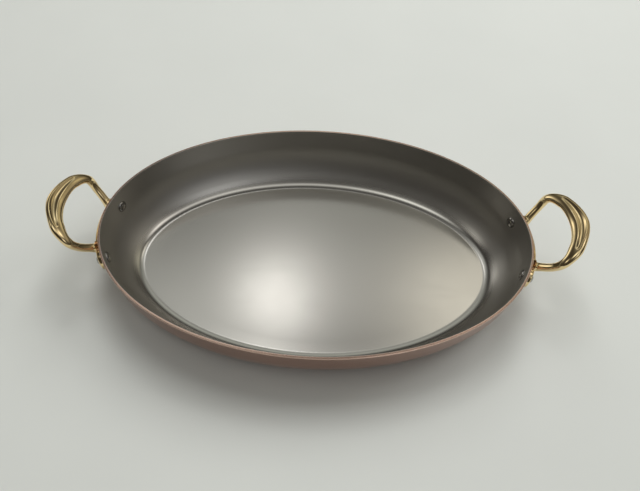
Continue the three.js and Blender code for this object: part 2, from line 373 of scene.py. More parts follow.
@dataclass(frozen=True)
class Pan:
    """The pan: the copper shell with its rounded lip, and the steel that lines it."""

    shape: PanShape
    columns: int = 480
    bend_steps: int = 12
    sweep_steps: int = 24
    wall_steps: int = 6
    lip_steps: int = 5
    floor_rings: int = 10
    edge_round: float = 0.12

    def side(self, depth: float, top: float) -> Array:
        """A face of the wall: the bend and the sweep, and equal steps up the straight wall.

        Args:
            depth: Which face, counted from the outside.
            top: The height at which it ends.

        Returns:
            Rows of inset and height, from the floor's edge upwards.
        """
        shape = self.shape
        heights = np.linspace(shape.tangent_height(depth), top, self.wall_steps + 1)[1:]
        straight = np.column_stack([shape.side_inset(depth, heights), heights])
        return np.vstack([shape.turns(depth, self.bend_steps, self.sweep_steps), straight])

    def lip(self) -> Array:
        """The lip's outer edge, a quarter round from the wall to the flat top.

        Returns:
            Rows of inset and height.
        """
        shape = self.shape
        turn = np.linspace(0.0, QUARTER, self.lip_steps + 1)[1:]
        height = shape.height - shape.lip_round * (1.0 - np.sin(turn))
        inset = shape.side_inset(0.0, height) + shape.lip_round * (1.0 - np.cos(turn))
        return np.column_stack([inset, height])

    def sweep(self, profile: Array) -> Skin:
        """Carry a profile round the oval, and close it with floors that shrink to the middle.

        Args:
            profile: Rows of inset and height, from one floor's edge to the other's.

        Returns:
            The closed skin. Its grain is the oval's angle as a plan point, and the length
            along the profile.
        """
        angle = np.linspace(0.0, FULL, self.columns, endpoint=False)
        plan = self.shape.oval(angle[None, :], profile[:, :1])
        heights = np.broadcast_to(profile[:, 1:2, None], plan.shape[:2] + (1,))
        rings = np.concatenate([plan, heights], axis=-1)
        shrink = np.linspace(0.0, 1.0, self.floor_rings + 1)[1:-1]
        level = np.ones((len(shrink), 1, 1))
        inwards = np.concatenate([shrink[:, None, None]] * 2 + [level], axis=-1)
        rings = np.concatenate([rings[:1] * inwards, rings, rings[-1:] * inwards[::-1]])
        runs = np.linalg.norm(np.diff(rings, axis=0), axis=-1).mean(axis=1)
        length = np.concatenate([[0.0], np.cumsum(runs)])
        around = circle(angle) * self.shape.half_axes
        grain = np.concatenate([
            np.broadcast_to(around, rings.shape[:2] + (2,)),
            np.broadcast_to(length[:, None, None], rings.shape[:2] + (1,)),
        ], axis=-1)
        poles = rings[[0, -1], 0] * np.array([0.0, 0.0, 1.0])
        return Skin(rings, poles, grain)

    def copper(self) -> Skin:
        """Up the outside, over the lip and down the face that the steel is bonded to.

        Returns:
            The copper shell.
        """
        shape = self.shape
        outside = self.side(0.0, shape.height - shape.lip_round)
        inside = self.side(shape.copper, shape.height)[::-1]
        return self.sweep(np.vstack([outside, self.lip(), inside]))

    def lining(self) -> Skin:
        """Up the bonded face, over its thin edge and down the cooking face.

        Returns:
            The steel lining.
        """
        shape = self.shape
        bonded = self.side(shape.copper, shape.height)
        edge = shape.side_inset(shape.wall, shape.height) - self.edge_round
        cooking = self.side(shape.wall, shape.height - self.edge_round)[::-1]
        return self.sweep(np.vstack([bonded, [[edge, shape.height]], cooking]))

    def build(self, copper: bpy.types.Material, steel: bpy.types.Material) -> None:
        """Make both skins, dress them and set them in the place of their CAD nodes.

        Args:
            copper: The shell's finish.
            steel: The lining's finish.
        """
        shell = build_mesh("copper_shell_fine", [self.copper()])
        dress(shell, copper, "copper_shell")
        lining = build_mesh("steel_lining_fine", [self.lining()])
        dress(lining, steel, "steel_lining")


# Handles


class End(Enum):
    """The end of the pan that a fitting belongs to, and how far it is turned about Z."""

    RIGHT = "right"
    LEFT = "left"

    @property
    def sign(self) -> float:
        """One at the right end and minus one at the left, where a half turn flips X and Y."""
        return 1.0 if self is End.RIGHT else -1.0

    def turned(self, skin: Skin) -> Skin:
        """A skin of the right end's fitting, turned to this end."""
        return skin.turned(np.array([self.sign, self.sign, 1.0]))


@dataclass(frozen=True)
class RivetPlace:
    """Where the rivets go through the wall, and how far apart the faces that they hold are."""

    arc: float = 28.9
    drop: float = 15.0
    seat_gap: float = 0.3
    plate: float = 4.0

    @property
    def plate_out(self) -> float:
        """The plate's outer face, counted from the outside of the wall."""
        return self.seat_gap + self.plate


@dataclass(frozen=True)
class Station:
    """One place on the loop's centreline, and the section there.

    Reach is counted from the rim's end, rise from the rim's height, and spread sideways from
    the rivet's place on the rim.
    """

    reach: float
    rise: float
    spread: float
    width: float
    thickness: float


@dataclass(frozen=True)
class Handle:
    """A cast handle: a plate with a lug at each rivet, and the loop that springs from it."""

    shape: PanShape
    place: RivetPlace
    end: End
    plate_round: float = 1.0
    lug_radius: float = 8.0
    bar_drop: float = 4.0
    bar_height: float = 8.0
    bar_blend: float = 12.0
    bar_share: float = 0.7
    foot_inboard: float = 10.3
    foot_below_rivet: float = -0.2
    foot_depth: float = 2.0
    foot_width: float = 6.6
    foot_thickness: float = 6.4
    elbow: Station = Station(9.5, 2.4, 1.9, 6.2, 5.6)
    shoulder: Station = Station(15.4, 12.0, 3.8, 7.4, 5.8)
    corner: Station = Station(23.9, 18.6, -5.6, 11.2, 6.4)
    crown: Station = Station(30.3, 20.7, 0.0, 14.4, 7.0)
    blade_tilt_degrees: float = 25.0
    foot_flare: float = 2.0
    flare_length: float = 12.0
    foot_fillet: float = 1.8
    squareness: float = 2.5
    scoop_depth: float = 1.6
    scoop_share: float = 0.15
    scoop_offset: float = 0.12
    scoop_half_width: float = 0.22
    scoop_edge: float = 0.08
    scoop_run_out: float = 0.15
    foot_behind: float = 1.2
    foot_samples: int = 160
    length_samples: int = 400
    loop_rows: int = 220
    foot_rows: int = 26
    foot_share: float = 0.11
    section_steps: int = 72
    outline_steps: int = 24
    round_steps: int = 5

    def stations(self) -> tuple[Array, Array]:
        """The centreline's points from foot to foot, and the width and thickness at each.

        Returns:
            Nine points, and nine rows of two sizes.
        """
        shape, place = self.shape, self.place
        height = shape.height - place.drop - self.foot_below_rivet
        foot = shape.on_wall(place.arc - self.foot_inboard, height, -self.foot_depth)
        side = shape.oval(shape.angle_at(np.array(place.arc)), 0.0)[1]
        upper = [self.elbow, self.shoulder, self.corner]
        points = [foot] + [
            np.array([shape.rim_length / 2 + s.reach, side + s.spread, shape.height + s.rise])
            for s in upper
        ]
        top = self.crown
        points.append(np.array([shape.rim_length / 2 + top.reach, 0.0, shape.height + top.rise]))
        sizes = [[self.foot_width, self.foot_thickness]]
        sizes += [[s.width, s.thickness] for s in [*upper, top]]
        mirror = np.array([1.0, -1.0, 1.0])
        points += [point * mirror for point in points[-2::-1]]
        return np.array(points), np.array(sizes + sizes[-2::-1])

    @staticmethod
    def between(t: Array, count: int) -> tuple[Array, Array]:
        """The station before each place along the loop, and the share of the way to the next.

        Args:
            t: Places along the loop, from 0 to 1.
            count: How many stations there are.

        Returns:
            The stations' numbers, and the shares.
        """
        place = np.clip(t, 0.0, 1.0) * (count - 1)
        before = np.clip(np.floor(place).astype(int), 0, count - 2)
        return before, place - before

    def centreline(self, t: Array) -> Array:
        """A Catmull-Rom curve through the stations, with the root of each chord as its knot.

        It goes straight on before 0 and after 1.

        Args:
            t: Places along it, any shape.

        Returns:
            Points, with one more axis than t.
        """
        stations, _ = self.stations()
        ends = [2 * stations[0] - stations[1], 2 * stations[-1] - stations[-2]]
        padded = np.vstack([ends[:1], stations, ends[1:]])
        before, w = self.between(t, len(stations))
        w = w[..., None]
        beyond = (t - np.clip(t, 0.0, 1.0))[..., None] * (len(stations) - 1)
        p0, p1, p2, p3 = (padded[before + k] for k in range(4))
        d0, d1, d2 = (np.sqrt(np.linalg.norm(b - a, axis=-1))[..., None]
                      for a, b in ((p0, p1), (p1, p2), (p2, p3)))
        m1 = ((p1 - p0) / d0 - (p2 - p0) / (d0 + d1) + (p2 - p1) / d1) * d1
        m2 = ((p2 - p1) / d1 - (p3 - p1) / (d1 + d2) + (p3 - p2) / d2) * d1
        square, cube = -3 * p1 + 3 * p2 - 2 * m1 - m2, 2 * p1 - 2 * p2 + m1 + m2
        slope = m1 + 2 * square * w + 3 * cube * w ** 2
        return p1 + m1 * w + square * w ** 2 + cube * w ** 3 + beyond * slope

    def section_sizes(self, t: Array) -> Array:
        """Width and thickness along the loop, eased from station to station.

        The flare adds to width and thickness near each foot, falling off with the length of
        centreline between.

        Args:
            t: Places along the loop.

        Returns:
            Rows of width and thickness.
        """
        _, sizes = self.stations()
        before, share = self.between(t, len(sizes))
        ease = smoothstep(share, 0.0, 1.0)[..., None]
        here = sizes[before] * (1 - ease) + sizes[before + 1] * ease
        samples = self.centreline(np.linspace(0.0, 1.0, self.length_samples))
        length = np.linalg.norm(np.diff(samples, axis=0), axis=1).sum()
        from_foot = np.clip(np.minimum(t, 1 - t), 0.0, None) * length
        flare = self.foot_flare * (1 - smoothstep(from_foot, 0.0, self.flare_length))
        return here + flare[..., None]

    def loop_surface(self, t: Array, turn: Array) -> tuple[Array, Array]:
        """The loop's skin: a superellipse carried along the centreline, with the scoop pressed in.

        Across and up go as the cosine and sine of the turn to the power 2 over the squareness.
        The scoop is a crescent: its depth falls with the square of the way along from its
        middle, its width with the root of that depth, and across it the depth falls with the
        square of the distance from its middle line, down to a narrow rounded edge.

        Args:
            t: Places along the loop.
            turn: Places round the section, the same shape as t.

        Returns:
            Points on the skin, and the centreline's points beside them.
        """
        width, thickness = np.moveaxis(self.section_sizes(t), -1, 0)
        power = 2.0 / self.squareness
        across = width / 2 * np.sign(np.cos(turn)) * np.abs(np.cos(turn)) ** power
        up = thickness / 2 * np.sign(np.sin(turn)) * np.abs(np.sin(turn)) ** power
        along = np.clip(1.0 - ((t - 0.5) / self.scoop_share) ** 2, 0.0, 1.0)
        away = (across / width - self.scoop_offset) / self.scoop_half_width
        left = along - away ** 2
        pressed = self.scoop_depth * (left + np.sqrt(left ** 2 + self.scoop_edge ** 2)) / 2
        pressed = pressed * smoothstep(along, 0.0, self.scoop_run_out)
        up = up - np.where(np.sin(turn) > 0, pressed, 0.0)
        centre = self.centreline(t)
        step = 1e-4
        tangent = unit(self.centreline(t + step) - self.centreline(t - step))
        tilt = math.radians(self.blade_tilt_degrees)
        blade = np.array([-math.sin(tilt), 0.0, math.cos(tilt)])
        upward = unit(blade - (tangent @ blade)[..., None] * tangent)
        outward = np.cross(upward, tangent)
        return centre + across[..., None] * outward + up[..., None] * upward, centre

    def foot_starts(self, turn: Array) -> Array:
        """Where each line along the loop leaves the wall, behind the plate's own wall face.

        Args:
            turn: Places round the section, one for each line.

        Returns:
            Places along the loop, by a straight line between the last sample inside the wall and
            the first outside it.
        """
        tried = np.linspace(-self.foot_share / 2, self.foot_share, self.foot_samples)
        t = tried[:, None] + np.zeros(len(turn))
        points, _ = self.loop_surface(t, np.broadcast_to(turn, t.shape))
        out = self.shape.out_of_wall(points) - self.foot_behind * self.place.seat_gap
        first = np.maximum((out > 0).argmax(axis=0), 1)
        columns = np.arange(len(turn))
        low, high = out[first - 1, columns], out[first, columns]
        share = low / (low - high)
        return t[first - 1, columns] * (1 - share) + t[first, columns] * share

    def loop(self) -> Skin:
        """The whole loop, each foot swelling into the plate by a quarter round.

        Returns:
            The closed skin, from foot to foot.
        """
        turn = np.linspace(0.0, FULL, self.section_steps, endpoint=False)
        start = self.foot_starts(turn)
        ease = np.linspace(0.0, 1.0, self.foot_rows, endpoint=False)[:, None]
        foot = start + (self.foot_share - start) * ease
        middle = np.linspace(self.foot_share, 1 - self.foot_share, self.loop_rows)[:, None]
        mirrored = self.section_steps // 2 - np.arange(self.section_steps)
        t = np.vstack([foot, middle + np.zeros(len(turn)), 1 - foot[::-1, mirrored]])
        points, centre = self.loop_surface(t, np.broadcast_to(turn, t.shape))
        points = self.swell(points, centre)
        return Skin(points, points[[0, -1]].mean(axis=1))

    def swell(self, points: Array, centre: Array) -> Array:
        """Push the foot outwards along the wall, so that it meets the plate in a quarter round.

        Args:
            points: The loop's skin.
            centre: The centreline's points beside them.

        Returns:
            The points. Each is moved by the radius less the root of the radius squared less the
            square of how far the point lies below the round's upper end.
        """
        radius = self.foot_fillet
        share = self.thinned(self.place.arc - self.foot_inboard)
        face = self.place.seat_gap + self.place.plate * share
        above = self.shape.out_of_wall(points) - face
        inside = np.clip((radius - above) / radius, 0.0, 1.0)
        push = radius * (1 - np.sqrt(1 - inside ** 2))
        side = np.where(points[..., 1] > 0, self.place.arc, -self.place.arc)
        normal = self.shape.wall_normal(side, self.shape.height - self.place.drop)
        away = points - centre
        along = unit(away - (away * normal).sum(axis=-1, keepdims=True) * normal)
        return points + push[..., None] * along

    def plate_edges(self, arc: Array) -> tuple[Array, Array]:
        """The plate's lower and upper edge: a bar that eases into a round lug at each rivet.

        Args:
            arc: Lengths along the rim.

        Returns:
            The heights of the lower edge and of the upper one.
        """
        beyond = np.abs(arc) - self.place.arc
        half = np.sqrt(np.clip(self.lug_radius ** 2 - np.maximum(beyond, 0.0) ** 2, 0.0, None))
        bar = smoothstep(-beyond, 0.0, self.bar_blend)
        middle = self.shape.height - self.place.drop
        top = self.shape.height - self.bar_drop
        low = (middle - half) * (1 - bar) + (top - self.bar_height) * bar
        high = (middle + half) * (1 - bar) + top * bar
        return low, high

    def thinned(self, arc: Array | float) -> Array:
        """The plate's thickness as a share of the lugs': less along the bar between them."""
        bar = smoothstep(self.place.arc - np.abs(arc), 0.0, self.bar_blend)
        return 1.0 - (1.0 - self.bar_share) * bar

    def plate(self) -> Skin:
        """The plate: its outline carried from the wall face over a rounded edge to the spine.

        The outline runs along the upper edge and back along the lower one. Each ring is the
        outline moved in along its own normal, and the last ones close on the line midway
        between the edges.

        Returns:
            The closed skin, folded shut on the spine at both faces.
        """
        place = self.place
        lug = place.arc + self.lug_radius * np.sin(np.linspace(0.0, QUARTER, self.outline_steps))
        inner = np.linspace(0.0, place.arc, 2 * self.outline_steps, endpoint=False)
        half = np.concatenate([inner, lug])
        arcs = np.concatenate([-half[:0:-1], half])
        low, high = self.plate_edges(arcs)
        outline = np.vstack([
            np.column_stack([arcs, low]),
            np.column_stack([arcs, high])[-2:0:-1],
        ])
        spine_arc = np.clip(outline[:, 0], -place.arc, place.arc)
        spine = np.column_stack([spine_arc, np.mean(self.plate_edges(spine_arc), axis=0)])
        ahead, behind = np.roll(outline, -1, axis=0), np.roll(outline, 1, axis=0)
        along = unit(ahead - behind)
        inward = np.column_stack([-along[:, 1], along[:, 0]])
        turn = np.linspace(0.0, QUARTER, self.round_steps + 1)
        moved = self.plate_round * (1 - np.cos(turn))
        out = place.plate_out - self.plate_round * (1 - np.sin(turn))
        edge = outline + inward * self.plate_round
        rings = [(spine + (outline - spine) * share, place.seat_gap) for share in (0.0, 0.5, 1.0)]
        rings += [(outline + inward * step, level) for step, level in zip(moved, out)]
        rings += [(spine + (edge - spine) * share, place.plate_out)
                  for share in (0.75, 0.5, 0.25, 0.0)]
        points = np.array([
            self.shape.on_wall(
                flat[:, 0], flat[:, 1],
                place.seat_gap + (level - place.seat_gap) * self.thinned(flat[:, 0]),
            )
            for flat, level in rings
        ])
        return Skin(points[:, ::-1], None)

    def build(self, bronze: bpy.types.Material) -> None:
        """Make the casting and set it in the place of its CAD node.

        Args:
            bronze: The casting's finish.
        """
        skins = [self.end.turned(skin) for skin in (self.plate(), self.loop())]
        node = f"handle_{self.end.value}"
        dress(build_mesh(f"{node}_cast", skins), bronze, node)


# Rivets


@dataclass(frozen=True)
class Rivet:
    """A rivet: a domed head inside the pan, the shank, and the hammered tail on the lug."""

    shape: PanShape
    place: RivetPlace
    end: End
    side: float
    head_radius: float = 4.7
    head_height: float = 2.4
    shank_radius: float = 2.6
    tail_radius: float = 3.7
    tail_height: float = 2.6
    edge_round: float = 0.3
    sunk: float = 0.12
    pole_radius: float = 0.02
    beating: float = 0.05
    beats: tuple[Three, ...] = ((0.5, 5.0, 1.0), (0.3, 8.0, 2.1), (0.3, 3.0, 0.0))
    steps: int = 72
    dome_steps: int = 14
    edge_steps: int = 4

    @property
    def node(self) -> str:
        """The CAD node's name: the end, and front or back as seen in the photograph's view."""
        where = "back" if self.side * self.end.sign > 0 else "front"
        return f"rivet_{self.end.value}_{where}"

    def dome(self, radius: float, height: float) -> Array:
        """A dome: a quarter round at its edge, and a quarter of an ellipse up to its pole.

        Args:
            radius: The dome's radius.
            height: The pole's height above the dome's flat side.

        Returns:
            Rows of radius and height, from the edge to the pole.
        """
        turn = np.linspace(-QUARTER, 0.0, self.edge_steps + 1)
        soft = self.edge_round
        edge = circle(turn) * soft + np.array([radius - soft, soft])
        rise = np.linspace(0.0, QUARTER, self.dome_steps + 1)[1:]
        cap = circle(rise) * np.array([radius, height - soft]) + np.array([0.0, soft])
        cap[-1, 0] = self.pole_radius
        return np.vstack([edge, cap])

    def profile(self) -> Array:
        """The rivet's section: the head's dome, the straight shank and the tail's dome.

        Returns:
            Rows of radius and distance along the axis, from the head's pole to the tail's. The
            distance is counted from the outside of the wall.
        """
        head = self.dome(self.head_radius, self.head_height)[::-1]
        head[:, 1] = -self.shape.wall + self.sunk - head[:, 1]
        tail = self.dome(self.tail_radius, self.tail_height)
        tail[:, 1] += self.place.plate_out - self.sunk / 2
        shank = np.array([[self.shank_radius, head[-1, 1]], [self.shank_radius, tail[0, 1]]])
        return np.vstack([head, shank, tail])

    def skin(self) -> Skin:
        """The profile turned about the wall's own normal, with the tail's hammering in it.

        The tail's radius varies by three waves round it, strongest midway up the dome. Each has
        its size, how often it goes round, and its share of a phase that is each rivet's own.

        Returns:
            The closed skin, on the right end's wall.
        """
        profile = self.profile()
        turn = np.linspace(0.0, FULL, self.steps, endpoint=False)
        arc = self.side * self.place.arc
        height = self.shape.height - self.place.drop
        centre = self.shape.on_wall(arc, height, 0.0)
        axis = self.shape.wall_normal(arc, height)
        sideways = unit(np.cross([0.0, 0.0, 1.0], axis))
        upward = np.cross(axis, sideways)
        phase = 1.7 * self.side + 0.9 * self.end.sign
        foot = self.place.plate_out
        beaten = smoothstep(profile[:, 1], foot, foot + self.tail_height)
        midway = (beaten * (1 - beaten) * 4)[:, None]
        waves = sum(size * np.sin(often * turn + share * phase)
                    for size, often, share in self.beats)
        radius = profile[:, :1] * (1 - self.beating * midway * (1 + waves))
        ring = np.cos(turn)[:, None] * sideways + np.sin(turn)[:, None] * upward
        rings = centre + profile[:, 1, None, None] * axis + radius[:, :, None] * ring
        return Skin(rings, rings[[0, -1]].mean(axis=1))

    def build(self, steel: bpy.types.Material) -> None:
        """Make the rivet and set it in the place of its CAD node."""
        piece = build_mesh(f"{self.node}_fine", [self.end.turned(self.skin())])
        dress(piece, steel, self.node)


def dress(piece: bpy.types.Object, material: bpy.types.Material, node: str) -> None:
    """Give a piece its material, and set it in the place of a CAD node.

    Args:
        piece: The finished piece.
        material: Its finish.
        node: The CAD node that it stands for.
    """
    piece.data.materials.append(material)
    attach(piece, "root")
    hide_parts(node)
    log.info("%s: %d faces, stands for %s", piece.name, len(piece.data.polygons), node)


# Finishes


Socket = bpy.types.NodeSocket
Sockets = bpy.types.NodeOutputs
Tree = bpy.types.NodeTree


@dataclass
class Nodes:
    """Adds nodes to a tree and joins them."""

    tree: Tree

    def add(self, kind: str, inputs: dict | None = None, **settings: object) -> bpy.types.Node:
        """Add a node.

        Args:
            kind: The node's type.
            inputs: Values or sockets for its inputs, by name or number.
            settings: Its other properties.

        Returns:
            The node.
        """
        node = self.tree.nodes.new(kind)
        for name, value in settings.items():
            setattr(node, name, value)
        for name, value in (inputs or {}).items():
            self.give(node.inputs[name], value)
        return node

    def give(self, socket: Socket, value: object) -> None:
        """Link a socket to another, or set its value.

        Args:
            socket: The input.
            value: A socket to link it to, a colour of three numbers, or another value.
        """
        if isinstance(value, Socket):
            self.tree.links.new(value, socket)
        elif socket.type == "RGBA":
            socket.default_value = (*value, 1.0)
        else:
            socket.default_value = value

    def math(self, operation: str, *values: object) -> Socket:
        """A Math node's result."""
        inputs = dict(enumerate(values))
        return self.add("ShaderNodeMath", inputs, operation=operation).outputs[0]

    def vector(self, operation: str, *values: object) -> bpy.types.Node:
        """A Vector Math node."""
        return self.add("ShaderNodeVectorMath", dict(enumerate(values)), operation=operation)

    def scaled(self, vector: object, scale: Socket) -> Socket:
        """A vector times a number."""
        inputs = {0: vector, "Scale": scale}
        return self.add("ShaderNodeVectorMath", inputs, operation="SCALE").outputs[0]

    def height(self, place: Socket) -> Socket:
        """The height of a place."""
        return self.add("ShaderNodeSeparateXYZ", {0: place}).outputs["Z"]

    def mix(self, share: object, first: object, second: object) -> Socket:
        """A blend of two colours."""
        inputs = {0: share, 6: first, 7: second}
        return self.add("ShaderNodeMix", inputs, data_type="RGBA").outputs[2]

    def span(self, value: object, between: tuple[float, float], top: float = 1.0) -> Socket:
        """A value carried from between two bounds to between zero and a top, and kept there."""
        inputs = {0: value, 1: between[0], 2: between[1], 3: 0.0, 4: top}
        return self.add("ShaderNodeMapRange", inputs, clamp=True).outputs[0]

    def bump(self, height: Socket, depth: float, over: Socket | None = None) -> Socket:
        """The normal of a relief.

        Args:
            height: The relief, from 0 to 1.
            depth: How deep it is, in metres.
            over: The normal that it lies on, where it isn't the smooth surface's own.

        Returns:
            The normal.
        """
        inputs = {"Height": height, "Distance": depth, "Strength": 1.0}
        if over is not None:
            inputs["Normal"] = over
        return self.add("ShaderNodeBump", inputs).outputs[0]

    def noise(self, vector: object, scale: object, detail: float, rough: float = 0.5) -> Socket:
        """A cloud noise."""
        inputs = {"Vector": vector, "Scale": scale, "Detail": detail, "Roughness": rough}
        return self.add("ShaderNodeTexNoise", inputs).outputs["Fac"]


class Group:
    """A node group with a vector and some numbers going in, and numbers coming out."""

    def __init__(self, name: str, numbers: dict[str, float], outputs: tuple[str, ...]) -> None:
        """Make the group's sockets.

        Args:
            name: The group's name.
            numbers: Each number's name and first value.
            outputs: The names of what comes out.
        """
        self.tree = bpy.data.node_groups.new(name, "ShaderNodeTree")
        sockets = self.tree.interface
        sockets.new_socket("Vector", in_out="INPUT", socket_type="NodeSocketVector")
        for label, value in numbers.items():
            socket = sockets.new_socket(label, in_out="INPUT", socket_type="NodeSocketFloat")
            socket.default_value = value
        for label in outputs:
            sockets.new_socket(label, in_out="OUTPUT", socket_type="NodeSocketFloat")
        self.nodes = Nodes(self.tree)
        self.given = self.nodes.add("NodeGroupInput").outputs
        self.put_out = self.nodes.add("NodeGroupOutput").inputs


def polish_lines_group() -> Tree:
    """Fine lines left by polishing or brushing: noise drawn out along two of three axes.

    Returns:
        A group that puts out the lines as a height and as a mask of the deeper ones.
    """
    fine_share, deepest, wide_scale = 0.7, (0.58, 0.74), 0.22
    group = Group("polish_lines", {"Along": 12.0, "Across": 1800.0}, ("Height", "Deep"))
    nodes, given = group.nodes, group.given
    along = given["Along"]
    scale = nodes.add("ShaderNodeCombineXYZ", {0: along, 1: along, 2: given["Across"]})
    drawn = nodes.vector("MULTIPLY", given["Vector"], scale.outputs[0]).outputs[0]
    fine = nodes.noise(drawn, 1.0, 3.0, 0.65)
    wide = nodes.noise(drawn, wide_scale, 2.0)
    height = nodes.math("ADD", nodes.math("MULTIPLY", fine, fine_share),
                        nodes.math("MULTIPLY", wide, 1.0 - fine_share))
    nodes.give(group.put_out["Height"], height)
    nodes.give(group.put_out["Deep"], nodes.span(fine, deepest))
    return group.tree


def handling_group() -> Tree:
    """Haze, wiping marks and small specks left by handling.

    Returns:
        A group that puts out the haze, the wiping marks and the specks as masks.
    """
    hazy, wiped, specked = (0.35, 0.7), (0.52, 0.72), (0.70, 0.78)
    finer, wipe_turn, wipe_scale = 45.0, (0.3, 0.2, 0.9), (1.0, 5.0, 5.0)
    group = Group("handling_marks", {"Size": 18.0}, ("Haze", "Wiping", "Specks"))
    nodes, place, size = group.nodes, group.given["Vector"], group.given["Size"]
    turned = nodes.add("ShaderNodeMapping",
                       {"Vector": place, "Rotation": wipe_turn, "Scale": wipe_scale})
    masks = {
        "Haze": (nodes.noise(place, size, 3.0, 0.55), hazy),
        "Wiping": (nodes.noise(turned.outputs[0], size, 2.0, 0.6), wiped),
        "Specks": (nodes.noise(place, nodes.math("MULTIPLY", size, finer), 1.0), specked),
    }
    for label, (cloud, between) in masks.items():
        nodes.give(group.put_out[label], nodes.span(cloud, between))
    return group.tree


@dataclass(frozen=True)
class MetalFinish:
    """A metal: its colour, the colour it dulls to, and how its surface is finished.

    Lengths and heights are in metres. `lines_along` and `lines_across` are how many waves of the
    polishing lines there are in a metre. Above the height `painted_highlight_above` the metal has
    the colour `painted_highlight`, a painted highlight: the light that falls on a top edge such as
    copper's lip, lighter than the colour below it. A wall is rougher than a floor by
    `wall_roughness`, which sets in between the two heights of `wall_from`.
    """

    name: str
    colour: Colour
    dulled: Colour
    dulling: float
    roughness: float
    haze: float
    lines_along: float
    lines_across: float
    line_depth: float
    wave_size: float
    wave_depth: float
    marks: float
    by_grain: bool = True
    # The colour of a painted highlight along a lit top edge, such as copper's lip, and the height
    # above which it is painted
    painted_highlight: Colour | None = None
    painted_highlight_above: float = 0.0
    painted_highlight_blend: float = 0.001
    wall_roughness: float = 0.0
    wall_from: tuple[float, float] = (0.003, 0.009)
    speck_dulling: float = 0.15
    wiping_share: float = 0.6
    line_share: float = 0.5

    def material(self, lines: Tree, handling: Tree) -> bpy.types.Material:
        """Build the material.

        Args:
            lines: The polishing lines' group.
            handling: The handling marks' group.

        Returns:
            The material.
        """
        material = bpy.data.materials.new(self.name)
        material.use_nodes = True
        nodes = Nodes(material.node_tree)
        shader = material.node_tree.nodes["Principled BSDF"].inputs
        place = nodes.add("ShaderNodeTexCoord").outputs["Object"]
        grain = place
        if self.by_grain:
            grain = nodes.add("ShaderNodeAttribute", attribute_name=GRAIN).outputs["Vector"]
        along = {"Vector": grain, "Along": self.lines_along, "Across": self.lines_across}
        drawn = nodes.add("ShaderNodeGroup", along, node_tree=lines).outputs
        by_size = {"Vector": place, "Size": self.marks}
        marks = nodes.add("ShaderNodeGroup", by_size, node_tree=handling).outputs
        nodes.give(shader["Base Color"], self.tint(nodes, place, marks))
        nodes.give(shader["Roughness"], self.gloss(nodes, place, marks, drawn["Deep"]))
        wave = nodes.noise(place, self.wave_size, 1.0)
        low = nodes.bump(wave, self.wave_depth)
        nodes.give(shader["Normal"], nodes.bump(drawn["Height"], self.line_depth, low))
        shader["Metallic"].default_value = 1.0
        return material

    def tint(self, nodes: Nodes, place: Socket, marks: Sockets) -> Socket:
        """The colour: duller where there is haze and specks, with a painted highlight above its
        height.

        Args:
            nodes: The material's nodes.
            place: The object's own coordinates.
            marks: The handling marks' masks.

        Returns:
            The colour.
        """
        dull = nodes.math("MULTIPLY", marks["Haze"], self.dulling)
        specks = nodes.math("MULTIPLY", marks["Specks"], self.speck_dulling)
        colour = nodes.mix(nodes.math("ADD", dull, specks), self.colour, self.dulled)
        if self.painted_highlight is None:
            return colour
        # Painted highlight: a lighter colour above the height, for the light that falls on the top
        # of copper's lip
        between = (self.painted_highlight_above - self.painted_highlight_blend, self.painted_highlight_above)
        return nodes.mix(nodes.span(nodes.height(place), between), colour, self.painted_highlight)

    def gloss(self, nodes: Nodes, place: Socket, marks: Sockets, deep: Socket) -> Socket:
        """The roughness: more in haze, wiping marks and deep lines, and on a brushed wall.

        Args:
            nodes: The material's nodes.
            place: The object's own coordinates.
            marks: The handling marks' masks.
            deep: The mask of the deeper polishing lines.

        Returns:
            The sum of the roughness and what each of them adds.
        """
        rough = nodes.math("MULTIPLY_ADD", marks["Haze"], self.haze, self.roughness)
        rough = nodes.math("MULTIPLY_ADD", marks["Wiping"], self.haze * self.wiping_share, rough)
        rough = nodes.math("MULTIPLY_ADD", deep, self.haze * self.line_share, rough)
        if self.wall_roughness == 0.0:
            return rough
        wall = nodes.span(nodes.height(place), self.wall_from, self.wall_roughness)
        return nodes.math("ADD", rough, wall)


# Painted shade and highlight: copper's colour, and the dulled colour made from it, are darkened
# below real copper for the dark surroundings that the wall mirrors, and the lip above 49.2 mm gets
# real copper's lighter colour as a painted highlight
COPPER = MetalFinish(
    "polished_copper", (0.52, 0.32, 0.255), (0.39, 0.225, 0.17), dulling=0.35, roughness=0.16,
    haze=0.06, lines_along=10.0, lines_across=2200.0, line_depth=0.000004, wave_size=22.0,
    wave_depth=0.00015, marks=16.0, painted_highlight=(0.93, 0.67, 0.55), painted_highlight_above=0.0492,
)
SATIN_STEEL = MetalFinish(
    "satin_steel", (0.62, 0.605, 0.565), (0.54, 0.525, 0.49), dulling=0.2, roughness=0.14,
    haze=0.02, lines_along=14.0, lines_across=2600.0, line_depth=0.0000012, wave_size=14.0,
    wave_depth=0.00002, marks=12.0, wall_roughness=0.27,
)
BRONZE = MetalFinish(
    "polished_bronze", (0.93, 0.745, 0.42), (0.72, 0.48, 0.21), dulling=0.25, roughness=0.055,
    haze=0.05, lines_along=60.0, lines_across=900.0, line_depth=0.000004, wave_size=130.0,
    wave_depth=0.00006, marks=40.0, by_grain=False,
)
RIVET_STEEL = MetalFinish(
    "rivet_steel", (0.52, 0.51, 0.48), (0.30, 0.29, 0.27), dulling=0.35, roughness=0.14,
    haze=0.08, lines_along=200.0, lines_across=900.0, line_depth=0.000006, wave_size=420.0,
    wave_depth=0.00012, marks=120.0, by_grain=False,
)


# Studio


def way_to(azimuth: float, elevation: float) -> Three:
    """A unit vector: the azimuth's sine and cosine times the elevation's cosine, and its sine."""
    a, e = math.radians(azimuth), math.radians(elevation)
    return math.sin(a) * math.cos(e), math.cos(a) * math.cos(e), math.sin(e)


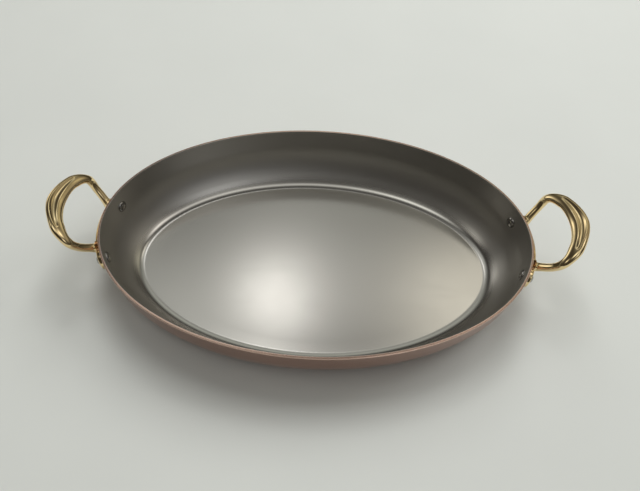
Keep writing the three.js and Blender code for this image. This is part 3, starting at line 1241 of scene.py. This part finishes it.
@dataclass(frozen=True)
class Glow:
    """A soft patch of light in the surroundings: a round falloff about one direction.

    Azimuth is counted from straight behind the pan, positive to the right.
    """

    azimuth: float
    elevation: float
    spread: float
    level: float
    tint: Colour = (1.0, 1.0, 1.0)

    def sharpness(self) -> float:
        """How fast the falloff is, so that the level is halved at the spread's half angle."""
        return math.log(2.0) / (1.0 - math.cos(math.radians(self.spread)))


@dataclass(frozen=True)
class SoftLamp:
    """A round soft lamp that faces the pan, placed like a glow, with a level of brightness.

    It lights the floor and casts the pan's shadow, and isn't mirrored in the polished metal.
    Its distance and diameter are in metres.
    """

    azimuth: float
    elevation: float
    level: float
    distance: float = 2.2
    diameter: float = 1.2

    def build(self, name: str) -> None:
        """Make the lamp. Its power is its level times pi times its area.

        Args:
            name: The lamp's name.
        """
        area = math.pi * self.diameter ** 2 / 4.0
        data = bpy.data.lights.new(name, "AREA")
        data.shape = "DISK"
        data.size = self.diameter
        data.energy = self.level * math.pi * area
        toward = Vector(way_to(self.azimuth, self.elevation))
        lamp = bpy.data.objects.new(name, data)
        turn = toward.to_track_quat("Z", "Y")
        lamp.matrix_world = Matrix.Translation(toward * self.distance) @ turn.to_matrix().to_4x4()
        lamp.visible_camera = False
        lamp.visible_glossy = False
        bpy.context.scene.collection.objects.link(lamp)


@dataclass(frozen=True)
class Studio:
    """The pale floor, the surroundings, the lamps and the camera.

    The floor's half width and the camera's nearest distance are in metres, and the camera's
    place is in millimetres.
    """

    floor_colour: Colour = (0.66, 0.68, 0.645)
    floor_half: float = 6.0
    floor_roughness: float = 0.55
    cloud_scale: float = 9.0
    cloud_between: tuple[float, float] = (0.35, 0.75)
    cloud_share: float = 0.12
    cloud_dark: float = 0.8
    backdrop: Colour = (0.66, 0.68, 0.645)
    ambient: Colour = (0.044, 0.040, 0.036)
    glows: tuple[Glow, ...] = (
        Glow(-47.0, 16.0, 10.0, 1.35, (1.0, 0.98, 0.92)),
        Glow(-94.0, 43.0, 6.5, 1.15, (1.0, 0.97, 0.90)),
        Glow(4.0, 48.0, 11.0, 0.17, (0.97, 1.0, 0.93)),
        Glow(0.0, 35.0, 10.0, 0.40, (0.97, 1.0, 0.92)),
        Glow(40.0, 34.0, 10.0, 0.45, (1.0, 0.95, 0.75)),
        Glow(72.0, 32.0, 14.0, 0.28, (1.0, 0.94, 0.82)),
        Glow(144.0, 32.0, 14.0, 0.16, (0.93, 0.96, 1.0)),
        Glow(142.0, 46.0, 7.5, 1.45, (0.97, 0.98, 1.0)),
        Glow(-26.0, 60.0, 8.0, 0.58, (0.98, 1.0, 0.96)),
        Glow(75.0, 60.0, 8.0, 1.45, (1.0, 0.96, 0.91)),
        Glow(120.0, 76.0, 10.0, 0.85, (1.0, 0.99, 0.95)),
        Glow(240.0, 76.0, 8.0, 1.35, (1.0, 1.0, 0.95)),
        Glow(-5.0, 57.8, 2.3, 1.60, (1.0, 0.98, 0.97)),
        Glow(-4.0, 57.5, 4.5, 0.50),
        Glow(25.0, 55.0, 4.0, 1.12, (1.0, 0.95, 0.83)),
        Glow(14.0, 57.0, 5.0, 0.34, (1.0, 0.99, 0.94)),
    )
    lamps: tuple[SoftLamp, ...] = (
        SoftLamp(0.0, 50.0, 2.7),
        SoftLamp(0.0, 70.0, 4.2),
        SoftLamp(60.0, 40.0, 3.9),
        SoftLamp(180.0, 60.0, 1.35),
    )
    camera_at: Three = (-4.553, -327.979, 466.018)
    azimuth: float = 1.456
    elevation: float = 48.922
    roll: float = 1.261
    lens: float = 36.83
    sensor: float = 36.0
    clip_start: float = 0.01
    shift: tuple[float, float] = (0.03125, -0.078125)

    def build(self) -> None:
        """Build everything that isn't the object."""
        self.floor()
        self.surroundings()
        for number, lamp in enumerate(self.lamps):
            lamp.build(f"soft_lamp_{number + 1}")
        self.camera()
        bpy.context.scene.view_settings.view_transform = "Standard"

    def floor(self) -> None:
        """A wide pale matt floor under the pan, faintly clouded."""
        half = self.floor_half
        mesh = bpy.data.meshes.new("floor")
        corners = [(-half, -half, 0.0), (half, -half, 0.0), (half, half, 0.0), (-half, half, 0.0)]
        mesh.from_pydata(corners, [], [(0, 1, 2, 3)])
        plane = bpy.data.objects.new("floor", mesh)
        bpy.context.scene.collection.objects.link(plane)
        material = bpy.data.materials.new("pale_floor")
        material.use_nodes = True
        nodes = Nodes(material.node_tree)
        shader = material.node_tree.nodes["Principled BSDF"].inputs
        place = nodes.add("ShaderNodeTexCoord").outputs["Object"]
        noise = nodes.noise(place, self.cloud_scale, 4.0)
        cloud = nodes.span(noise, self.cloud_between, self.cloud_share)
        dark = tuple(self.cloud_dark * c for c in self.floor_colour)
        nodes.give(shader["Base Color"], nodes.mix(cloud, self.floor_colour, dark))
        shader["Roughness"].default_value = self.floor_roughness
        shader["Specular IOR Level"].default_value = 0.0
        plane.data.materials.append(material)

    def surroundings(self) -> None:
        """The world, which is pale where the camera looks at it.

        For every other ray it is dim all round, with soft patches of light. A patch falls off
        as the exponential of its sharpness times the cosine of the angle off it, less one.
        """
        world = bpy.data.worlds.new("studio")
        world.use_nodes = True
        bpy.context.scene.world = world
        nodes = Nodes(world.node_tree)
        way = nodes.add("ShaderNodeTexCoord").outputs["Generated"]
        total = self.ambient
        for glow in self.glows:
            centre = way_to(glow.azimuth, glow.elevation)
            toward = nodes.vector("DOT_PRODUCT", way, centre).outputs["Value"]
            falling = nodes.math("MULTIPLY", nodes.math("SUBTRACT", toward, 1.0), glow.sharpness())
            strength = nodes.math("MULTIPLY", nodes.math("EXPONENT", falling), glow.level)
            tinted = nodes.scaled(glow.tint, strength)
            total = nodes.vector("ADD", total, tinted).outputs[0]
        seen = nodes.add("ShaderNodeLightPath").outputs["Is Camera Ray"]
        background = world.node_tree.nodes["Background"].inputs
        nodes.give(background["Color"], nodes.mix(seen, total, self.backdrop))

    def camera(self) -> None:
        """The camera at the photograph's place, turned by its azimuth, elevation and roll."""
        a, e, r = (math.radians(v) for v in (self.azimuth, self.elevation, self.roll))
        back = np.array([math.sin(a) * math.cos(e), -math.cos(a) * math.cos(e), math.sin(e)])
        right = np.array([math.cos(a), math.sin(a), 0.0])
        up = np.cross(back, right)
        turned = np.array([
            math.cos(r) * right + math.sin(r) * up,
            -math.sin(r) * right + math.cos(r) * up,
            back,
        ])
        data = bpy.data.cameras.new("camera")
        data.lens = self.lens
        data.sensor_width = self.sensor
        data.shift_x, data.shift_y = self.shift
        data.clip_start = self.clip_start
        camera = bpy.data.objects.new("camera", data)
        moved = Matrix.Translation(Vector(self.camera_at) * MM)
        camera.matrix_world = moved @ Matrix(turned.T.tolist()).to_4x4()
        bpy.context.scene.collection.objects.link(camera)
        bpy.context.scene.camera = camera


def main() -> None:
    """Build the studio, the pan, the handles and the rivets."""
    logging.basicConfig(level=logging.INFO, format="%(name)s: %(message)s")
    Studio().build()
    lines, handling = polish_lines_group(), handling_group()
    copper, steel, bronze, rivet_steel = (
        metal.material(lines, handling) for metal in (COPPER, SATIN_STEEL, BRONZE, RIVET_STEEL)
    )
    shape, place = PanShape(), RivetPlace()
    Pan(shape).build(copper, steel)
    for end in End:
        Handle(shape, place, end).build(bronze)
        for side in (1.0, -1.0):
            Rivet(shape, place, end, side).build(rivet_steel)


if __name__ == "__main__":
    main()
